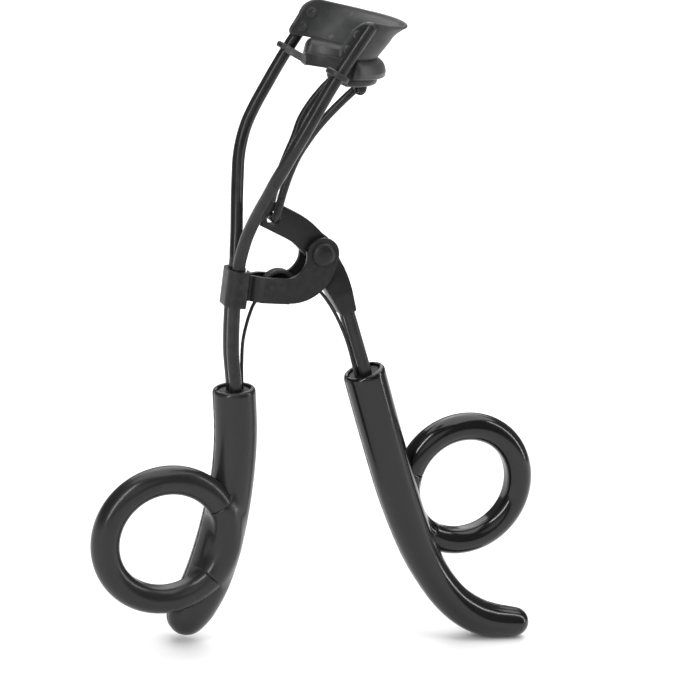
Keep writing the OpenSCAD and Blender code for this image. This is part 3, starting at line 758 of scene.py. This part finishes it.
# ---------------------------------------------------------------- return spring
def spring_line():
    """Out of the thumb handle, round the coil, and into the finger handle."""
    coil_at, coil_r, swing, n = np.array([-15.7, 0, 69]), 2.9, 840, 90
    leg_off, leg_in = 1.8, 4
    length = (2 * SPRING_WIRE_R + 0.03) * swing / 360
    coil = []
    for k in range(n + 1):
        a = math.radians(180 - swing * k / n)
        coil.append(coil_at + [coil_r * math.cos(a), length * (0.5 - k / n), coil_r * math.sin(a)])
    thumb_end = THUMB_TOP + leg_off * np.array([-THUMB_DIR[2], 0, THUMB_DIR[0]])
    finger_end = FINGER_TOP + leg_off * np.array([LEVER_DIR[2], 0, -LEVER_DIR[0]])
    thumb_leg = [(-18.8, 0, 67.3), (-19.3, 0, 65.9), (-19.9, 0, 64.4), (-20.5, 0, 61.5),
                 (-20.8, 0, 58), (-20.5, 0, 54), thumb_end, thumb_end + leg_in * THUMB_DIR]
    finger_leg = [(-11.6, 0, 70.1), (-9.6, 0, 69.4), (-7.8, 0, 68.5), (-5.1, 0, 65.6),
                  (-2.6, 0, 61.9), (-0.6, 0, 58.1), finger_end,
                  finger_end + leg_in * LEVER_DIR]
    before = smooth([np.array(q) + [0, length / 2, 0] for q in thumb_leg[::-1]] + [coil[0]], 6)
    after = smooth([coil[-1]] + [np.array(q) - [0, length / 2, 0] for q in finger_leg], 6)
    return list(before[:-1]) + coil + list(after[1:])


spring = piece("spring", *sweep(spring_line(), SPRING_WIRE_R, 12, 0.05, 0.05), SPRING, None,
               "spring_wire", ["return_spring"])
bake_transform(spring)


# ---------------------------------------------------------------- handles and rings as fields
def smax(a, b, k):
    """The larger of two fields, their crease rounded over k."""
    h = np.maximum(k - np.abs(a - b), 0) / k
    return np.maximum(a, b) + h * h * k / 4


def smin(a, b, k):
    """The smaller of two fields, their crease filled over k."""
    return -smax(-a, -b, k)


def bar_field(stations, diameters):
    """Signed distance to a bar with a round tip, whose line lies in the plane y = 0."""
    steps, easings = 14, 14
    line = smooth(stations, steps)
    u = np.linspace(0, len(diameters) - 1, len(line))
    radii = np.interp(u, range(len(diameters)), np.array(diameters) / 2)
    for _ in range(easings):
        radii[1:-1] = (radii[:-2] + 2 * radii[1:-1] + radii[2:]) / 4

    def field(x, y, z):
        best = None
        for (ax, az), (bx, bz), ra, rb in zip(line, line[1:], radii, radii[1:]):
            dx, dz = bx - ax, bz - az
            t = np.clip(((x - ax) * dx + (z - az) * dz) / (dx * dx + dz * dz), 0, 1)
            d = np.hypot(x - ax - t * dx, z - az - t * dz)
            d = np.sqrt(d * d + y * y) - (ra + t * (rb - ra))
            best = d if best is None else np.minimum(best, d)
        return best
    return field


def ring_root_field(at, mid, x, y, z):
    """Signed distance to the part of the ring that its sleeve leaves open."""
    rho = np.hypot(x - at[0], z - at[2])
    tube = np.hypot(rho - RING_MID_R, y - at[1]) - RING_TUBE_R
    hoop = smax(tube, RING_HOLE_R - rho, 0.12)
    a = np.arctan2(z - at[2], x - at[0]) - math.radians(mid)
    a = np.abs((a + math.pi) % (2 * math.pi) - math.pi)
    ends = (a - math.radians(SLEEVE_GAP / 2)) * rho + 0.05
    return smax(hoop, ends, 0.3)


def handle_field(bar, side, ring):
    """One moulded shell: half of the bar, its socket, and the ring's root if it has one.

    bar is (stations, diameters, top, direction); ring is (centre, direction of its handle).
    """
    stations, diameters, top, direction = bar
    whole_bar = bar_field(stations, diameters)
    half_gap, root_r, top_r, edge_r, socket_r = 0.03, 1.3, 1.0, 0.35, 3.0

    def field(x, y, z):
        f = whole_bar(x, y, z)
        lift = (x - top[0]) * direction[0] + (z - top[2]) * direction[2]
        off = np.sqrt(((x - top[0]) * direction[2] - (z - top[2]) * direction[0]) ** 2 + y * y)
        if ring is not None:
            f = smin(f, ring_root_field(*ring, x, y, z), root_r)
        f = smax(f, -lift, top_r)
        socket = np.maximum(off - socket_r, lift - PLUG_DEPTH)
        f = smax(f, -socket, edge_r)
        return smax(f, half_gap - side * y, edge_r)
    return field


def surface(field, low, high, step):
    """A closed mesh of the zero level of field, by surface nets, then pulled onto it."""
    pulls, eps = 4, 1e-3
    axes = [np.arange(a, b + step, step) for a, b in zip(low, high)]
    gx, gy, gz = np.meshgrid(*axes, indexing="ij", sparse=True)
    f = field(gx, gy, gz) + 0.0 * (gx + gy + gz)
    inside = f < 0
    n = f.shape
    corners = [(i, j, k) for i in (0, 1) for j in (0, 1) for k in (0, 1)]

    def cells(v, c):
        return v[c[0]:n[0] - 1 + c[0], c[1]:n[1] - 1 + c[1], c[2]:n[2] - 1 + c[2]]

    total = sum(cells(inside, c).astype(int) for c in corners)
    active = (total > 0) & (total < 8)
    index = -np.ones(active.shape, int)
    index[active] = np.arange(active.sum())
    where = np.argwhere(active)
    acc, count = np.zeros((len(where), 3)), np.zeros(len(where))
    for a in corners:
        for axis in range(3):
            if a[axis]:
                continue
            b = tuple(v + (m == axis) for m, v in enumerate(a))
            fa, fb = cells(f, a)[active], cells(f, b)[active]
            cross = (fa < 0) != (fb < 0)
            t = np.where(cross, fa / np.where(cross, fa - fb, 1), 0)
            p = np.array(a, float) + np.eye(3)[axis] * t[:, None]
            acc += p * cross[:, None]
            count += cross
    points = np.array([axes[m][0] for m in range(3)]) + (where + acc / count[:, None]) * step
    for _ in range(pulls):
        v = field(*points.T)
        grad = np.stack([(field(*(points + eps * e).T) - v) / eps for e in np.eye(3)], 1)
        move = (v / np.maximum((grad ** 2).sum(1), 0.2))[:, None] * grad
        points -= np.clip(move, -step / 2, step / 2)
    faces = []
    for axis in range(3):
        others = [m for m in range(3) if m != axis]
        lo, hi = [slice(None)] * 3, [slice(None)] * 3
        lo[axis], hi[axis] = slice(0, n[axis] - 1), slice(1, n[axis])
        change = inside[tuple(lo)] != inside[tuple(hi)]
        for cell in np.argwhere(change):
            if any(cell[m] == 0 or cell[m] >= n[m] - 1 for m in others):
                continue
            quad = []
            for da, db in ((-1, -1), (0, -1), (0, 0), (-1, 0)):
                q = cell.copy()
                q[others[0]] += da
                q[others[1]] += db
                quad.append(int(index[tuple(q)]))
            faces.append(tuple(quad))
    return [tuple(p) for p in points], faces


GRID = 0.3  # the surface nets' cell, in mm


def shell(name, side, bar, ring, mat, body, slot, replaces):
    """The handle half on this side, as a piece; bar and ring are as for handle_field."""
    xs, zs = zip(*bar[0])
    room, deep, past_middle = 6, 6.1, 0.9
    low = [min(xs) - room, -past_middle if side == FAR else -deep, min(zs) - room]
    high = [max(xs) + room, deep if side == FAR else past_middle, max(zs) + room]
    if ring is not None:
        reach = RING_MID_R + RING_TUBE_R + 1
        low[0], high[0] = min(low[0], ring[0][0] - reach), max(high[0], ring[0][0] + reach)
    mesh = surface(handle_field(bar, side, ring), low, high, GRID)
    piece(name, *mesh, mat, body, slot, replaces, sharp=50)


def sleeve(at, mid):
    """The soft sleeve on a ring: an arc with a flat inner band and softened ends."""
    flat = RING_HOLE_R - RING_MID_R
    limit = math.degrees(math.acos(flat / RING_TUBE_R))
    section = rim(0, 0, RING_TUBE_R, -limit + 3, limit - 3, 40)
    band = RING_TUBE_R * math.sin(math.radians(limit))
    section += [(flat + 0.03, band - 0.12), (flat, band - 0.3)]
    section += [(flat, band * share * 0.7) for share in (1, 0.5, 0, -0.5, -1)]
    section += [(flat, -band + 0.3), (flat + 0.03, -band + 0.12)]
    a0, a1 = mid + SLEEVE_GAP / 2, mid + 360 - SLEEVE_GAP / 2
    steps = 150
    # (distance from the sleeve's end, how much its tube is smaller there)
    ease = [(0.0, 0.2), (0.04, 0.1), (0.1, 0.04), (0.2, 0.0)]
    marks = [(a0 + math.degrees(s / RING_MID_R), c) for s, c in ease]
    marks += [(a0 + (a1 - a0) * k / steps, 0.0) for k in range(1, steps)]
    marks += [(a1 - math.degrees(s / RING_MID_R), c) for s, c in reversed(ease)]
    loops = []
    for a, c in marks:
        ca, sa = math.cos(math.radians(a)), math.sin(math.radians(a))
        k = (RING_TUBE_R - c) / RING_TUBE_R
        loops.append([(at[0] + (RING_MID_R + p * k) * ca, at[1] + q * k,
                       at[2] + (RING_MID_R + p * k) * sa) for p, q in section])
    return rings(loops)


def plug(top, direction):
    """The insert round the wires: a shallow dished face, set a little below the handle's top."""
    sunk = 0.55
    profile = [(0.02, sunk + 0.12), (1.6, sunk + 0.1), (2.5, sunk + 0.04), (2.85, sunk),
               (2.97, sunk + 0.15), (2.97, PLUG_DEPTH), (0.02, PLUG_DEPTH)]
    return place(lathe(profile, 56), top, direction)


THUMB_BAR = (THUMB_STATIONS, THUMB_D, THUMB_TOP, THUMB_DIR)
FINGER_BAR = (FINGER_STATIONS, FINGER_D, FINGER_TOP, LEVER_DIR)
THUMB_LOOK = (THUMB_PLASTIC, "frame", "thumb_plastic")
FINGER_LOOK = (FINGER_PLASTIC, "lever", "finger_plastic")

shell("thumb_shell_front", NEAR, THUMB_BAR, (THUMB_RING, THUMB_RING_MID), *THUMB_LOOK,
      ["thumb_handle_front", "thumb_ring_core"])
shell("thumb_shell_rear", FAR, THUMB_BAR, None, *THUMB_LOOK, ["thumb_handle_rear"])
shell("finger_shell_front", NEAR, FINGER_BAR, None, *FINGER_LOOK, ["finger_handle_front"])
shell("finger_shell_rear", FAR, FINGER_BAR, (FINGER_RING, FINGER_RING_MID), *FINGER_LOOK,
      ["finger_handle_rear", "finger_ring_core"])
piece("thumb_sleeve", *sleeve(THUMB_RING, THUMB_RING_MID), *THUMB_LOOK, ["thumb_ring_sleeve"],
      sharp=30)
piece("finger_sleeve", *sleeve(FINGER_RING, FINGER_RING_MID), *FINGER_LOOK,
      ["finger_ring_sleeve"], sharp=30)
piece("thumb_insert", *plug(THUMB_TOP, THUMB_DIR), PLUG_PLASTIC, "frame", "plug_plastic",
      ["thumb_handle_plug"])
piece("finger_insert", *plug(FINGER_TOP, LEVER_DIR), PLUG_PLASTIC, "lever", "plug_plastic",
      ["finger_handle_plug"])


# ---------------------------------------------------------------- floor, light and camera
def floor():
    """A pale floor, wide enough to fill the photograph's view."""
    s = Shader("floor_white")
    s.link(s.ramp(s.noise(6, 3), [(0.3, rgb(0.86)), (0.7, rgb(0.9))]), s.bsdf.inputs["Base Color"])
    s.bsdf.inputs["Roughness"].default_value = 0.8
    size, z = 4.0, CAD_BOX[0][2]
    mesh = bpy.data.meshes.new("floor")
    mesh.from_pydata([(-size, -size, z), (size, -size, z), (size, size, z), (-size, size, z)],
                     [], [(0, 1, 2, 3)])
    mesh.materials.append(s.mat)
    obj = bpy.data.objects.new("floor", mesh)
    bpy.context.scene.collection.objects.link(obj)


def area(name, where, aim, size, size_y, watts):
    """A soft rectangular light, in metres."""
    light = bpy.data.lights.new(name, "AREA")
    light.shape = "RECTANGLE"
    light.size, light.size_y = size, size_y
    light.energy = watts
    obj = bpy.data.objects.new(name, light)
    obj.location = where
    obj.rotation_euler = (Vector(aim) - Vector(where)).to_track_quat("-Z", "Y").to_euler()
    bpy.context.scene.collection.objects.link(obj)


def camera():
    """The photograph's camera: turned and raised by az and el, rolled, aimed at the Z axis."""
    az, el, roll = (math.radians(v) for v in (-22.18, 14.57, 7.88))
    aim_z, distance, focal_px, frame_px, sensor_mm = 0.05734, 0.45, 2430, 700, 36
    back = Vector((math.sin(az) * math.cos(el), -math.cos(az) * math.cos(el), math.sin(el)))
    level = Vector((math.cos(az), math.sin(az), 0))
    raised = Vector((-math.sin(az) * math.sin(el), math.cos(az) * math.sin(el), math.cos(el)))
    right = math.cos(roll) * level + math.sin(roll) * raised
    up = -math.sin(roll) * level + math.cos(roll) * raised
    data = bpy.data.cameras.new("camera")
    data.sensor_width = sensor_mm
    data.lens = focal_px / frame_px * sensor_mm
    data.clip_start, data.clip_end = 0.01, 20
    obj = bpy.data.objects.new("camera", data)
    where = Vector((0, 0, aim_z)) + distance * back
    obj.matrix_world = Matrix.Translation(where) @ Matrix((right, up, back)).transposed().to_4x4()
    bpy.context.scene.collection.objects.link(obj)
    bpy.context.scene.camera = obj


def studio():
    """A dim white world, and the view transform that the greys were matched in."""
    world = bpy.data.worlds.new("studio")
    world.use_nodes = True
    world.node_tree.nodes["Background"].inputs["Color"].default_value = (1, 1, 1, 1)
    world.node_tree.nodes["Background"].inputs["Strength"].default_value = 0.2
    bpy.context.scene.world = world
    bpy.context.scene.view_settings.view_transform = "Standard"


floor()
camera()
studio()
MIDDLE = (0, 0, 0.06)
area("overhead", (0.1, 0.25, 1.3), (0, 0.15, 0), 1.7, 1.7, 26)
area("backdrop", (0.3, 1.9, 1.2), (0.3, 2.0, 0), 2.0, 2.0, 30)
area("strip_left", (-0.62, -0.5, 0.45), MIDDLE, 0.1, 0.8, 5)
area("strip_right", (0.75, -0.25, 0.4), MIDDLE, 0.08, 0.8, 2.6)
area("front", (-0.25, -1.1, 0.5), MIDDLE, 0.6, 0.6, 1.2)

bpy.context.view_layer.update()
